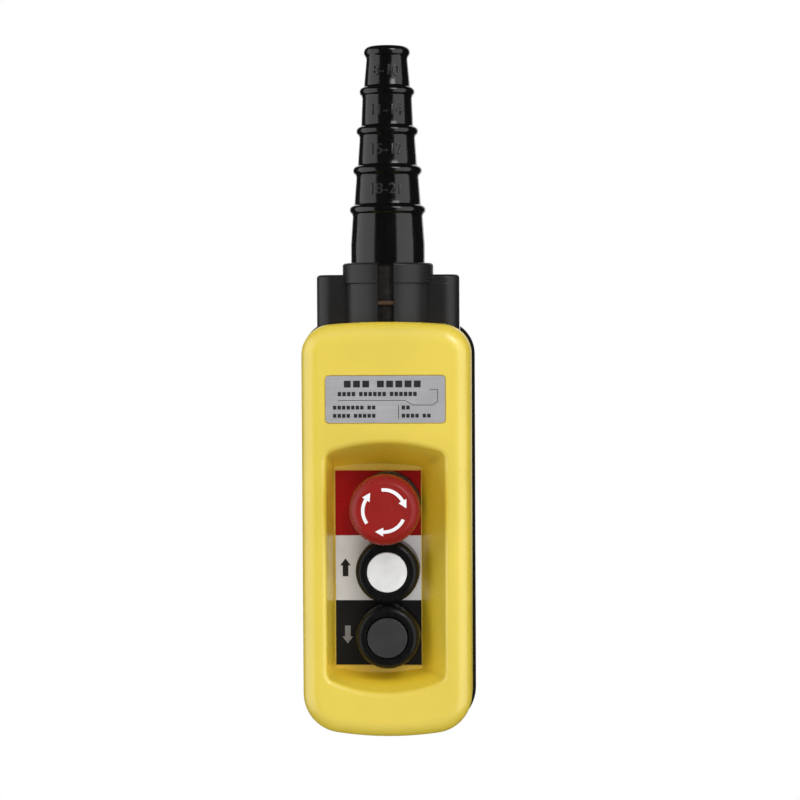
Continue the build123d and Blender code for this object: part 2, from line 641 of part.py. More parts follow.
def contact_strips(z, strip_y):
    """The two fixed contacts, each a brass strip from inside the core out to its terminal screw."""
    middle, width = (STRIP_INNER + STRIP_OUTER) / 2, STRIP_OUTER - STRIP_INNER
    return group(
        block(side * middle, z, width, STRIP_HEIGHT, strip_y, strip_y + STRIP_THICK)
        - disc(side * TERMINAL_X, z, TERMINAL_SHANK_R + 0.05, strip_y - 1, strip_y + 3)
        for side in (-1, 1)
    )


def terminal_screws(z, strip_y):
    head_front, tip = strip_y - 2.2, strip_y + 5.0
    return group(
        slotted_screw(side * TERMINAL_X, z, TERMINAL_R, TERMINAL_SHANK_R, head_front, strip_y, tip)
        for side in (-1, 1)
    )


def contact_spring(z):
    return coil(2.4, 0.3, 5, CARRIER_BACK + 0.05, BLOCK_BACK - BLOCK_WALL - 0.05, z)


# ---------------------------------------------------------------- the whole station


def build_case():
    parts["front_shell"] = front_shell()
    parts["rear_shell"] = rear_shell()
    parts["shell_seal"] = shell_seal()
    parts["case_screws"] = case_screws()
    parts["case_screw_washers"] = case_screw_washers()
    parts["rating_plate"] = rating_plate()


def build_cable_end():
    parts["cable_sleeve"] = cable_sleeve()
    parts["shroud"] = shroud()
    parts["sleeve_collar"] = sleeve_collar()
    parts["collar_pins"] = collar_pins()
    parts["cable_clamp_bar"] = cable_clamp_bar()
    parts["cable_clamp_screws"] = cable_clamp_screws()


def build_switching(name, index, z, strip_y):
    """What every operator has: its legend, fixings and contact block."""
    parts[f"{name}_legend"] = legend_plate(index)
    parts[f"{name}_nut"] = barrel_nut(z)
    parts[f"{name}_clip"] = stem_clip(z)
    parts[f"{name}_contact_block"] = contact_block(z, strip_y)
    parts[f"{name}_contact_carrier"] = contact_carrier(z)
    parts[f"{name}_contact_bridge"] = contact_bridge(z)
    parts[f"{name}_contact_strips"] = contact_strips(z, strip_y)
    parts[f"{name}_contact_spring"] = contact_spring(z)
    parts[f"{name}_terminal_screws"] = terminal_screws(z, strip_y)


def build_push_button(name, z):
    parts[f"{name}_bezel"] = push_bezel(z)
    parts[f"{name}_cap"] = push_cap(z)
    parts[f"{name}_stem"] = push_stem(z)
    parts[f"{name}_boot"] = push_boot(z)
    parts[f"{name}_spring"] = push_spring(z)


def build_stop():
    parts["stop_bezel"] = stop_bezel()
    parts["stop_head"] = stop_head()
    parts["stop_stem"] = stop_stem()
    parts["stop_spring"] = stop_spring()
    parts["stop_return_spring"] = stop_return_spring()


build_case()
build_cable_end()
parts["contact_plate"] = contact_plate()
parts["contact_plate_screws"] = contact_plate_screws()
build_switching("stop", 0, STOP_Z, CLOSED_STRIP_Y)
build_switching("up", 1, UP_Z, OPEN_STRIP_Y)
build_switching("down", 2, DOWN_Z, OPEN_STRIP_Y)
build_push_button("up", UP_Z)
build_push_button("down", DOWN_Z)
build_stop()

os.makedirs("parts", exist_ok=True)
for node, shape in parts.items():
    export_step(shape, f"parts/{node}.step")
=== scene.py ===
import json
import math

import bmesh
import bpy
from mathutils import Matrix, Vector


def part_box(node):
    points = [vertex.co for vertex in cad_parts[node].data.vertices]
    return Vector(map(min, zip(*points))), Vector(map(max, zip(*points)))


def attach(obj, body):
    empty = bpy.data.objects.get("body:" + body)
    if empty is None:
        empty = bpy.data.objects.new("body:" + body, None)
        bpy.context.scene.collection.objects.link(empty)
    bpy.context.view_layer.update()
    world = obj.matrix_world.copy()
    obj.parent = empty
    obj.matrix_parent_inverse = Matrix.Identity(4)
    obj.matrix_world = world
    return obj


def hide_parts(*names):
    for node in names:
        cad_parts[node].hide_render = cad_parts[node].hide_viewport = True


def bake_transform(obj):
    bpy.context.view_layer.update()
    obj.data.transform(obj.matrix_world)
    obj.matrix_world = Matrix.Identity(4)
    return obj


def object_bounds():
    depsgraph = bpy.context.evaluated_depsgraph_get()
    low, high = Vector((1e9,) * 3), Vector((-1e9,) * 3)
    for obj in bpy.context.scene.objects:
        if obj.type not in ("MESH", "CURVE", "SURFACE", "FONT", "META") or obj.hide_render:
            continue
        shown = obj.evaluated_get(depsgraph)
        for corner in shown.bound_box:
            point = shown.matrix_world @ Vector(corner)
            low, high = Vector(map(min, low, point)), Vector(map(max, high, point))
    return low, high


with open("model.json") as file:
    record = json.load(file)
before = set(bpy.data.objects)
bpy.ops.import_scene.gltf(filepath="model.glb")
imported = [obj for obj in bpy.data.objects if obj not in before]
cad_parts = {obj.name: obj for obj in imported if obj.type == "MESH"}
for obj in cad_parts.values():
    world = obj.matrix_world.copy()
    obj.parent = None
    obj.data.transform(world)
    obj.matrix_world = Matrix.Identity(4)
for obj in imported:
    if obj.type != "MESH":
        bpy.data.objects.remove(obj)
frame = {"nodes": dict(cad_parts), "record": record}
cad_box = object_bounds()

# The looks of a pendant control station. Numbers are in millimetres and MM turns them into metres. The
# frame is the CAD's: +Z is up, the buttons face -Y and the cable enters at the origin.
MM = 0.001


def box_mm(node):
    """The lowest and highest corners of a CAD node, in millimetres."""
    low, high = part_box(node)
    return low / MM, high / MM


# ---------------------------------------------------------------- camera, light and floor

CAMERA_DISTANCE = 1014.0
CAMERA_YAW = 3.2  # degrees from the object's front, towards its right side
CAMERA_PITCH = 2.3  # degrees above it, looking down
CAMERA_ROLL = -0.3  # degrees
AIM = Vector((5.25, 0, -162.45))
FIELD = 370.2  # width and height of what the camera sees at the point it aims at
SENSOR = 36.0


def outward(azimuth, elevation):
    """The direction from the station to an azimuth and elevation in degrees. Azimuth 0 is its front."""
    turn, lift = math.radians(azimuth), math.radians(elevation)
    return Vector((math.sin(turn) * math.cos(lift), -math.cos(turn) * math.cos(lift), math.sin(lift)))


def make_camera():
    data = bpy.data.cameras.new("camera")
    data.sensor_width = SENSOR
    data.lens = SENSOR * CAMERA_DISTANCE / FIELD
    data.clip_start, data.clip_end = 0.05, 50.0
    camera = bpy.data.objects.new("camera", data)
    bpy.context.scene.collection.objects.link(camera)
    place = outward(CAMERA_YAW, CAMERA_PITCH) * CAMERA_DISTANCE
    place.z += AIM.z
    turn = (AIM - place).to_track_quat("-Z", "Y").to_matrix()
    roll = Matrix.Rotation(math.radians(CAMERA_ROLL), 3, "Z")
    camera.matrix_world = Matrix.Translation(place * MM) @ (turn @ roll).to_4x4()
    bpy.context.scene.camera = camera


def soft_box(name, azimuth, elevation, distance, size, brightness, mirrored=True):
    """A large area light, in metres, that looks at the middle of the station. A fill light isn't mirrored."""
    data = bpy.data.lights.new(name, "AREA")
    data.shape = "RECTANGLE"
    data.size, data.size_y = size
    data.energy = math.pi * size[0] * size[1] * brightness
    light = bpy.data.objects.new(name, data)
    bpy.context.scene.collection.objects.link(light)
    out = outward(azimuth, elevation)
    light.location = Vector((0, 0, AIM.z * MM)) + out * distance
    light.rotation_euler = (-out).to_track_quat("-Z", "Y").to_euler()
    light.visible_camera = False
    light.visible_glossy = mirrored


def make_light():
    soft_box("soft_box_left", -76, 0, 1.0, (1.5, 1.6), 1.4)
    soft_box("soft_box_right", 60, 0, 1.0, (1.1, 1.6), 1.55)
    soft_box("key_light", 34, 37, 1.1, (0.4, 0.4), 5.5)
    soft_box("front_fill", 6, 4, 1.3, (0.9, 1.4), 1.3, mirrored=False)
    soft_box("upper_fill", -6, 58, 1.1, (1.6, 1.0), 2.1, mirrored=False)
    soft_box("lower_fill", 0, -52, 1.1, (1.5, 0.9), 1.6, mirrored=False)
    soft_box("soft_box_behind", 180, 15, 1.3, (1.2, 1.2), 1.1)
    soft_box("rear_fill", 190, 10, 1.3, (1.5, 1.3), 2.2, mirrored=False)
    world = bpy.data.worlds.new("studio")
    bpy.context.scene.world = world
    world.use_nodes = True
    nodes, links = world.node_tree.nodes, world.node_tree.links
    seen, unseen = nodes["Background"], nodes.new("ShaderNodeBackground")
    seen.inputs["Color"].default_value = (1, 1, 1, 1)
    seen.inputs["Strength"].default_value = 1.0
    unseen.inputs["Color"].default_value = (1, 1, 1, 1)
    unseen.inputs["Strength"].default_value = 0.03
    path, mix = nodes.new("ShaderNodeLightPath"), nodes.new("ShaderNodeMixShader")
    links.new(path.outputs["Is Camera Ray"], mix.inputs["Fac"])
    links.new(unseen.outputs[0], mix.inputs[1])
    links.new(seen.outputs[0], mix.inputs[2])
    links.new(mix.outputs[0], nodes["World Output"].inputs["Surface"])
    bpy.context.scene.view_settings.view_transform = "Standard"


def make_floor():
    """A pale, self-lit studio floor that lights nothing. A camera fits between it and the station."""
    drop, radius = 1.1, 3.4
    shape = bmesh.new()
    bmesh.ops.create_circle(shape, cap_ends=True, segments=96, radius=radius)
    bmesh.ops.translate(shape, verts=shape.verts, vec=(0, 0, cad_box[0].z - drop))
    mesh = bpy.data.meshes.new("floor")
    shape.to_mesh(mesh)
    shape.free()
    floor = bpy.data.objects.new("floor", mesh)
    bpy.context.scene.collection.objects.link(floor)
    look = Look("floor_paint")
    look.tint((0.86, 0.86, 0.86), (0.82, 0.82, 0.82), look.noise(400, 3))
    look.link("Roughness", look.span(look.noise(90, 2), 0.55, 0.7))
    look.link("Emission Strength", look.span(look.noise(500, 2), 0.5, 0.55))
    look.bump([(look.noise(3, 3), 0.02)])
    mesh.materials.append(look.material)
    floor.visible_diffuse = False
    floor.visible_glossy = False


# ---------------------------------------------------------------- materials


class Look:
    """A material while it is built: each call adds nodes and gives back an output to go on with."""

    def __init__(self, name):
        self.material = bpy.data.materials.new(name)
        self.material.use_nodes = True
        self.nodes = self.material.node_tree.nodes
        self.links = self.material.node_tree.links
        self.surface = self.nodes["Principled BSDF"]
        self.where = self.nodes.new("ShaderNodeTexCoord").outputs["Object"]

    def set(self, **values):
        for name, value in values.items():
            self.surface.inputs[name.replace("_", " ")].default_value = value

    def link(self, name, output):
        self.links.new(output, self.surface.inputs[name])

    def stretched(self, stretch):
        mapping = self.nodes.new("ShaderNodeMapping")
        mapping.inputs["Scale"].default_value = stretch
        self.links.new(self.where, mapping.inputs["Vector"])
        return mapping.outputs["Vector"]

    def noise(self, size, detail=2, stretch=None, roughness=0.5):
        """Noise whose features are about size millimetres across."""
        node = self.nodes.new("ShaderNodeTexNoise")
        node.inputs["Scale"].default_value = 1 / (size * MM)
        node.inputs["Detail"].default_value = detail
        node.inputs["Roughness"].default_value = roughness
        self.links.new(self.stretched(stretch) if stretch else self.where, node.inputs["Vector"])
        return node.outputs["Fac"]

    def cells(self, size):
        node = self.nodes.new("ShaderNodeTexVoronoi")
        node.inputs["Scale"].default_value = 1 / (size * MM)
        self.links.new(self.where, node.inputs["Vector"])
        return node.outputs["Distance"]

    def span(self, value, low, high, start=0.3, end=0.7):
        """Maps the part of a value between start and end onto low to high."""
        node = self.nodes.new("ShaderNodeMapRange")
        node.inputs["From Min"].default_value, node.inputs["From Max"].default_value = start, end
        node.inputs["To Min"].default_value, node.inputs["To Max"].default_value = low, high
        self.links.new(value, node.inputs["Value"])
        return node.outputs["Result"]

    def math(self, operation, a, b):
        node = self.nodes.new("ShaderNodeMath")
        node.operation = operation
        for socket, value in zip(node.inputs, (a, b)):
            if isinstance(value, (int, float)):
                socket.default_value = value
            else:
                self.links.new(value, socket)
        return node.outputs[0]

    def mix(self, amount, a, b):
        """A colour between two, each a tuple or an output."""
        node = self.nodes.new("ShaderNodeMix")
        node.data_type = "RGBA"
        self.links.new(amount, node.inputs["Factor"])
        for socket, value in ((node.inputs[6], a), (node.inputs[7], b)):
            if isinstance(value, tuple):
                socket.default_value = (*value, 1)
            else:
                self.links.new(value, socket)
        return node.outputs[2]

    def above(self, height):
        """How far each point is above a height in millimetres."""
        parts = self.nodes.new("ShaderNodeSeparateXYZ")
        self.links.new(self.where, parts.inputs[0])
        return self.math("SUBTRACT", parts.outputs["Z"], height * MM)

    def ridge(self, height, half):
        """1 on a level line round the piece at a height in millimetres, and 0 above and below it."""
        off = self.math("ABSOLUTE", self.above(height), 0)
        return self.span(off, 1.0, 0.0, 0.0, half * MM)

    def edges(self, radius):
        """Near 1 on edges and corners that stand out or lie in, and 0 on plain stretches."""
        bevel = self.nodes.new("ShaderNodeBevel")
        bevel.samples = 4
        bevel.inputs["Radius"].default_value = radius * MM
        dot = self.nodes.new("ShaderNodeVectorMath")
        dot.operation = "DOT_PRODUCT"
        self.links.new(bevel.outputs["Normal"], dot.inputs[0])
        self.links.new(self.nodes.new("ShaderNodeNewGeometry").outputs["Normal"], dot.inputs[1])
        return self.span(dot.outputs["Value"], 1.0, 0.0, 0.75, 0.98)

    def crevices(self, distance, deep=0.2, clear=0.9):
        """Near 1 in corners and gaps, and 0 in the open."""
        node = self.nodes.new("ShaderNodeAmbientOcclusion")
        node.samples = 4
        node.inputs["Distance"].default_value = distance * MM
        return self.span(node.outputs["AO"], 1.0, 0.0, deep, clear)

    def tint(self, a, b, amount):
        colour = self.mix(self.span(amount, 0, 1), a, b)
        self.link("Base Color", colour)
        return colour

    def bump(self, layers):
        """Stacks bumps: each layer is a value and its height in millimetres."""
        normal = None
        for value, height in layers:
            node = self.nodes.new("ShaderNodeBump")
            node.inputs["Distance"].default_value = height * MM
            self.links.new(value, node.inputs["Height"])
            if normal:
                self.links.new(normal, node.inputs["Normal"])
            normal = node.outputs["Normal"]
        self.link("Normal", normal)


def shade(colour, factor):
    return tuple(c * factor for c in colour)


def case_plastic(name, colour):
    """Satin polypropylene with a fine grain: paler where its edges are rubbed, with painted bounce light (a
    deeper, redder gold) in its hollows and painted shade with some grime in its tight corners.
    """
    look = Look(name)
    flow = look.noise(38, 2)
    open_body = look.mix(look.span(flow, 0, 1), shade(colour, 0.95), shade(colour, 1.04))
    # Painted bounce light and shade: hollows up to 18 mm deep turn a deeper, redder gold, standing in for
    # light bounced between the yellow walls of the recess.
    painted_bounce_mask = look.crevices(18, 0.4, 0.95)
    body = look.mix(painted_bounce_mask, open_body, (colour[0] * 1.5, colour[1] * 1.3, colour[2] * 0.4))
    fine = look.mix(look.span(look.noise(1.4, 3), 0, 1), shade(colour, 0.96), shade(colour, 1.02))
    blended = look.mix(look.span(look.noise(9, 2), 0.05, 0.2), body, fine)
    rubbed = look.math("MULTIPLY", look.edges(0.8), look.span(look.noise(2.2, 3), 0.0, 0.5))
    paler = tuple(min(1.0, c * 1.1 + 0.03) for c in colour)
    worn = look.mix(rubbed, blended, paler)
    # Painted shade with patchy grime: corners within 1.6 mm are darkened towards a darker copy of the yellow,
    # standing in for the shade that falls there.
    grime_and_painted_shade = look.math("MULTIPLY", look.crevices(1.6), look.span(look.noise(3.0, 3), 0.1, 0.4))
    look.link("Base Color", look.mix(grime_and_painted_shade, worn, shade(colour, 0.55)))
    look.link("Roughness", look.span(look.noise(0.9, 3), 0.27, 0.37))
    look.set(IOR=1.6, Specular_IOR_Level=0.75)
    look.bump([(look.noise(7, 2), 0.03), (look.noise(0.45, 3), 0.012)])
    return look.material


def rubber(name, colour, gloss, shine=0.5, dusty_below=None):
    """Moulded rubber with faint flow marks and dust in its corners.

    Gloss is its roughness. Below the height dusty_below, in millimetres, it is dull with dust.
    """
    look = Look(name)
    flow = look.noise(3.0, 3, stretch=(1, 1, 0.25))
    body = look.mix(look.span(flow, 0, 1), shade(colour, 0.75), shade(colour, 1.3))
    dust = look.math("MULTIPLY", look.crevices(1.2), look.span(look.noise(0.8, 3), 0.0, 0.2))
    surface = look.mix(dust, body, (0.022, 0.021, 0.020))
    polish = look.span(look.noise(1.6, 3), gloss - 0.04, gloss + 0.06)
    if dusty_below is not None:
        dusty = look.span(look.above(dusty_below), 1.0, 0.0, -2 * MM, 0)
        patchy = look.math("MULTIPLY", dusty, look.span(look.noise(1.5, 3), 0.5, 1.0))
        surface = look.mix(patchy, surface, (0.011, 0.009, 0.008))
        polish = look.math("MAXIMUM", polish, look.math("MULTIPLY", patchy, 0.6))
    look.link("Base Color", surface)
    look.link("Roughness", polish)
    look.set(IOR=1.52, Specular_IOR_Level=shine)
    look.bump([(look.noise(5.0, 2), 0.02), (look.noise(0.3, 2), 0.004)])
    return look.material


def moulding(name, colour, rough, grain=0.35, depth=0.012, wear=0.35, seam=None, shine=0.45):
    """Hard moulded plastic with an etched grain and rubbed edges. Seam is the height of a mould line."""
    look = Look(name)
    cloud = look.noise(14, 3)
    body = look.mix(look.span(cloud, 0, 1), shade(colour, 0.86), shade(colour, 1.12))
    rubbed = look.math("MULTIPLY", look.edges(0.45), look.span(look.noise(1.1, 3), 0.0, wear))
    paler = tuple(min(1.0, c * 1.5 + 0.03) for c in colour)
    look.link("Base Color", look.mix(rubbed, body, paler))
    look.link("Roughness", look.span(look.noise(0.7, 3), rough - 0.07, rough + 0.07))
    look.set(IOR=1.5, Specular_IOR_Level=shine)
    layers = [(look.noise(6, 2), 0.02), (look.cells(grain), depth)]
    look.bump(layers + [(look.ridge(seam, 0.35), 0.1)] if seam else layers)
    return look.material


def metal(name, colour, rough, stretch=(1, 1, 1), depth=0.003, bare=1.0):
    """Bare or plated metal, brushed along the direction that stretch squeezes."""
    look = Look(name)
    lines = look.noise(0.5, 4, stretch=stretch, roughness=0.65)
    cloud = look.noise(11, 3)
    body = look.mix(look.span(lines, 0, 1), shade(colour, 0.88), shade(colour, 1.08))
    tarnish = look.mix(look.span(cloud, 0, 0.35), body, shade(colour, 0.7))
    # Painted shade with patchy grime: corners and gaps within 1.2 mm are darkened towards a much darker copy
    # of the metal, standing in for the shade in slot floors and joints.
    grime_and_painted_shade = look.math("MULTIPLY", look.crevices(1.2), look.span(look.noise(1.0, 3), 0.5, 0.9))
    look.link("Base Color", look.mix(grime_and_painted_shade, tarnish, shade(colour, 0.15)))
    look.link("Roughness", look.span(lines, rough - 0.06, rough + 0.1))
    look.set(Metallic=bare)
    look.bump([(lines, depth)])
    return look.material


def printed_plate(name, colour, rough):
    """Smooth laminated legend plate, with faint ripples and fine scuffs."""
    look = Look(name)
    body = look.mix(look.span(look.noise(16, 2), 0, 1), shade(colour, 0.9), shade(colour, 1.08))
    scuffs = look.noise(0.6, 4, stretch=(0.15, 1, 1), roughness=0.7)
    look.link("Base Color", look.mix(look.span(scuffs, 0, 0.006, 0.66, 0.8), body, (0.5, 0.5, 0.5)))
    look.link("Roughness", look.span(scuffs, rough - 0.02, rough + 0.05))
    look.set(IOR=1.5, Specular_IOR_Level=0.17)
    look.bump([(look.noise(9, 2), 0.012)])
    return look.material


def ink(name, colour, rough):
    """Screen-printed ink: slightly uneven in cover and gloss."""
    look = Look(name)
    cover = look.noise(0.5, 4)
    look.tint(shade(colour, 0.9), shade(colour, 1.06), cover)
    look.link("Roughness", look.span(look.noise(0.9, 2), rough - 0.05, rough + 0.08))
    look.bump([(cover, 0.004)])
    return look.material


LOOKS = {
    "case_yellow": case_plastic("case_yellow_grain", (0.625, 0.482, 0.052)),
    "black_rubber": rubber("soft_black_rubber", (0.004, 0.004, 0.0045), 0.27, 0.22),
    "sleeve_rubber": rubber("glossy_sleeve_rubber", (0.002, 0.002, 0.002), 0.14, 0.45, dusty_below=-99.5),
    "black_plastic": moulding("charcoal_moulding", (0.009, 0.009, 0.0095), 0.4, shine=0.32),
    "plate_silver": metal("brushed_silver_plate", (0.47, 0.47, 0.49), 0.45, stretch=(0.03, 1, 1), bare=0.5),
    "legend_red": printed_plate("red_legend", (0.34, 0.0015, 0.001), 0.28),
    "legend_white": printed_plate("pale_legend", (0.74, 0.74, 0.77), 0.34),
    "legend_black": printed_plate("black_legend", (0.014, 0.014, 0.015), 0.28),
    "stop_red": moulding("red_mushroom_moulding", (0.22, 0.007, 0.005), 0.34, 0.5, 0.005, 0.15, shine=0.3),
    "cap_white": moulding("white_cap_moulding", (0.66, 0.66, 0.66), 0.5, 0.4, 0.006, 0.1),
    "cap_dark": moulding("dark_cap_moulding", (0.024, 0.024, 0.025), 0.5, 0.4, 0.01, 0.1),
    "grey_plastic": moulding("inner_grey_moulding", (0.10, 0.10, 0.11), 0.5),
    "steel": metal("zinc_plated_steel", (0.56, 0.56, 0.58), 0.3, stretch=(1, 0.1, 1)),
    "spring_steel": metal("spring_wire", (0.45, 0.45, 0.47), 0.25, stretch=(0.3, 0.3, 0.3)),
    "contact_brass": metal("dull_brass", (0.16, 0.09, 0.04), 0.45, stretch=(0.2, 1, 1)),
}
PIN_LOOK = metal("dull_brown_pin", (0.07, 0.04, 0.022), 0.5, stretch=(0.2, 1, 1), bare=0.4)
MARK_LOOK = rubber("dull_raised_rubber", (0.006, 0.006, 0.006), 0.36, 0.55)
SHROUD_LOOK = moulding("charcoal_moulding_with_seam", (0.009, 0.009, 0.0095), 0.4, shine=0.36, seam=-108.9)
INK_BLACK = ink("black_ink", (0.012, 0.012, 0.013), 0.45)
INK_GREY = ink("grey_ink", (0.22, 0.22, 0.23), 0.45)
INK_WHITE = ink("white_ink", (0.70, 0.70, 0.72), 0.4)


def dress_cad_nodes():
    """Every CAD node gets the look of its material slot."""
    for row in frame["record"]["subparts"]:
        node = frame["nodes"][row["node"]]
        node.data.materials.clear()
        node.data.materials.append(LOOKS[row["material_slot"]])
    for name in ("shroud", "sleeve_collar"):
        frame["nodes"][name].data.materials[0] = SHROUD_LOOK
    frame["nodes"]["collar_pins"].data.materials[0] = PIN_LOOK


# ---------------------------------------------------------------- mesh building


def add_object(name, shape, look, smooth=True):
    """Turns a bmesh in millimetres into an object in metres."""
    bmesh.ops.scale(shape, vec=(MM, MM, MM), verts=shape.verts)
    bmesh.ops.recalc_face_normals(shape, faces=shape.faces)
    mesh = bpy.data.meshes.new(name)
    shape.to_mesh(mesh)
    shape.free()
    for face in mesh.polygons:
        face.use_smooth = smooth
    mesh.materials.append(look)
    made = bpy.data.objects.new(name, mesh)
    bpy.context.scene.collection.objects.link(made)
    return made


def rounded(corners, steps=5):
    """An outline of (radius, along, rounding) corners as points, each corner eased over its rounding."""
    points = []
    last = len(corners) - 1
    for k, (r, a, ease) in enumerate(corners):
        here = Vector((r, a))
        if ease == 0 or k in (0, last):
            points.append(here)
            continue
        back = Vector(corners[k - 1][:2]) - here
        on = Vector(corners[k + 1][:2]) - here
        start = here + back.normalized() * min(ease, back.length * 0.49)
        end = here + on.normalized() * min(ease, on.length * 0.49)
        for step in range(steps + 1):
            t = step / steps
            points.append(start * (1 - t) ** 2 + here * 2 * t * (1 - t) + end * t * t)
    return points


def lathe(points, place, steps=96, ripple=None):
    """Turns an outline of (radius, along) round an axis. place maps (radius, angle, along) to a point."""
    shape = bmesh.new()
    rings = []
    for r, a in points:
        if r < 1e-6:
            rings.append([shape.verts.new(place(0, 0, a))])
            continue
        ring = []
        for k in range(steps):
            angle = 2 * math.pi * k / steps
            ring.append(shape.verts.new(place(r + (ripple(r, a, angle) if ripple else 0), angle, a)))
        rings.append(ring)
    closed = len(rings[0]) > 1 and (points[0] - points[-1]).length < 1e-6
    if closed:
        for vert in rings[-1]:
            shape.verts.remove(vert)
        rings[-1] = rings[0]
    for one, two in zip(rings, rings[1:]):
        for k in range(steps):
            n = (k + 1) % steps
            corners = []
            for vert in (one[k % len(one)], one[n % len(one)], two[n % len(two)], two[k % len(two)]):
                if vert not in corners:
                    corners.append(vert)
            if len(corners) > 2:
                shape.faces.new(corners)
    return shape


def about_push_axis(centre_x, centre_z):
    """Places lathe points round an axis along Y. Angles run clockwise from up, seen from the front."""
    def place(r, angle, along):
        return Vector((centre_x + r * math.sin(angle), along, centre_z + r * math.cos(angle)))
    return place


def about_cable(r, angle, along):
    """Places lathe points round the cable's axis. Angle 0 is at the front."""
    return Vector((r * math.sin(angle), -r * math.cos(angle), along))


def add_plate(shape, outline, front, back):
    """Adds a thin plate with an outline of (x, z) points."""
    ends = [[shape.verts.new((x, y, z)) for x, z in outline] for y in (front, back)]
    shape.faces.new(ends[0])
    shape.faces.new(ends[1])
    for k in range(len(outline)):
        n = (k + 1) % len(outline)
        shape.faces.new((ends[0][k], ends[0][n], ends[1][n], ends[1][k]))


# ---------------------------------------------------------------- cable sleeve

RINGS = 4
RING_PITCH, LIP_Z, LIP_R = 18.05, -2.6, 10.55
RING_R = (12.6, 14.15, 15.8, 17.45)
STEP_TOP_R = (9.4, 11.35, 12.7, 14.3, 16.1)
STEP_BOTTOM_R = (10.55, 11.95, 13.6, 15.3, 17.0)
RING_HALF = 2.0
BORE_R = (4.0, 5.5, 7.5, 9.0, 11.2)
SIZE_MARKS = ("8-10", "11-14", "15-17", "18-21")
MARK_SIZE, MARK_SPACING, MARK_RAISED, MARK_BEVEL, MARK_CUTS = 6.9, 1.03, 0.42, 0.12, 30


def ring_z(index):
    return LIP_Z - RING_PITCH * (index + 1)


def arc(centre, radii, start, end, steps):
    """Points on an ellipse in the (radius, along) plane, between two angles in degrees."""
    points = []
    for k in range(steps + 1):
        angle = math.radians(start + (end - start) * k / steps)
        reach = (radii[0] * math.cos(angle), radii[1] * math.sin(angle))
        points.append(Vector((centre[0] + reach[0], centre[1] + reach[1])))
    return points


def sleeve_outline():
    """The sleeve's section: outside from the mouth down to the foot, and back up the stepped bore."""
    low, high = box_mm("cable_sleeve")
    points = [Vector((4.0, high.z - 1.2)), Vector((4.4, high.z - 0.35)), Vector((5.2, high.z))]
    points += arc((LIP_R - 2.6, LIP_Z), (2.6, -LIP_Z), 90, -42, 14)
    points += [Vector((9.45, 2 * LIP_Z)), Vector((STEP_TOP_R[0], 2 * LIP_Z - 0.8))]
    for k in range(RINGS):
        z = ring_z(k)
        points.append(Vector((STEP_BOTTOM_R[k] - 0.05, z + RING_HALF + 0.9)))
        points.append(Vector((STEP_BOTTOM_R[k] + 0.22, z + RING_HALF + 0.15)))
        bulge = RING_R[k] - 1.75
        points += arc((bulge, z), (1.75, RING_HALF), 62, -62, 12)
        points.append(Vector((STEP_TOP_R[k + 1] + 0.25, z - RING_HALF - 0.15)))
        points.append(Vector((STEP_TOP_R[k + 1], z - RING_HALF - 0.9)))
    foot_r, flange_r = STEP_BOTTOM_R[4], high.x
    points += [Vector((foot_r, ring_z(3) - 16.0)), Vector((foot_r, low.z + 3.0))]
    points += [Vector((flange_r, low.z + 3.0)), Vector((flange_r, low.z))]
    points.append(Vector((BORE_R[4], low.z)))
    for k in range(RINGS - 1, -1, -1):
        half = (BORE_R[k + 1] - BORE_R[k]) / 2
        points += [Vector((BORE_R[k + 1], ring_z(k) - half)), Vector((BORE_R[k], ring_z(k) + half))]
    points.append(points[0].copy())
    return points


def finer(points, longest):
    """The same outline with long straight stretches divided."""
    out = [points[0]]
    for one, two in zip(points, points[1:]):
        pieces = max(1, math.ceil((two - one).length / longest))
        out += [one.lerp(two, (k + 1) / pieces) for k in range(pieces)]
    return out


def parting_line(r, along, angle):
    """The mould's parting line: a fine raised seam up each side of the sleeve."""
    off = min(abs(math.sin(angle - math.pi / 2)), abs(math.sin(angle + math.pi / 2)))
    return 0.09 * math.exp(-((off / 0.02) ** 2)) if r > 9.2 else 0.0


def make_sleeve():
    outline = finer(sleeve_outline(), 3.0)
    sleeve = add_object("stepped_cable_sleeve", lathe(outline, about_cable, 160, parting_line),
                        LOOKS["sleeve_rubber"])
    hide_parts("cable_sleeve")
    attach(sleeve, "case")
    for k, text in enumerate(SIZE_MARKS):
        make_size_mark(k, text)


def make_size_mark(index, text):
    """Raised cable size, wrapped round the sleeve."""
    curve = bpy.data.curves.new("mark", "FONT")
    curve.body = text
    curve.align_x, curve.align_y = "CENTER", "CENTER"
    curve.size = MARK_SIZE
    curve.space_character = MARK_SPACING
    curve.extrude = MARK_RAISED
    curve.bevel_depth = MARK_BEVEL
    curve.bevel_resolution = 1
    curve.offset = -0.02
    letters = bpy.data.objects.new("mark", curve)
    bpy.context.scene.collection.objects.link(letters)
    bpy.context.view_layer.update()
    mesh = bpy.data.meshes.new_from_object(letters)
    bpy.data.objects.remove(letters)
    shape = bmesh.new()
    shape.from_mesh(mesh)
    bmesh.ops.remove_doubles(shape, verts=shape.verts, dist=0.001)
    half = max(abs(v.co.x) for v in shape.verts)
    for k in range(1, MARK_CUTS):
        x = -half + 2 * half * k / MARK_CUTS
        geometry = shape.verts[:] + shape.edges[:] + shape.faces[:]
        bmesh.ops.bisect_plane(shape, geom=geometry, plane_co=(x, 0, 0), plane_no=(1, 0, 0))
    top, bottom = ring_z(index - 1) - RING_HALF, ring_z(index) + RING_HALF
    middle = (top + bottom) / 2
    for vert in shape.verts:
        across, up, out = vert.co
        share = (top - (middle + up)) / (top - bottom)
        skin = STEP_TOP_R[index] + (STEP_BOTTOM_R[index] - STEP_TOP_R[index]) * share
        vert.co = about_cable(skin + out, across / skin, middle + up)
    mark = add_object(f"size_mark_{index + 1}", shape, MARK_LOOK)
    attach(mark, "case")


# ---------------------------------------------------------------- stop button

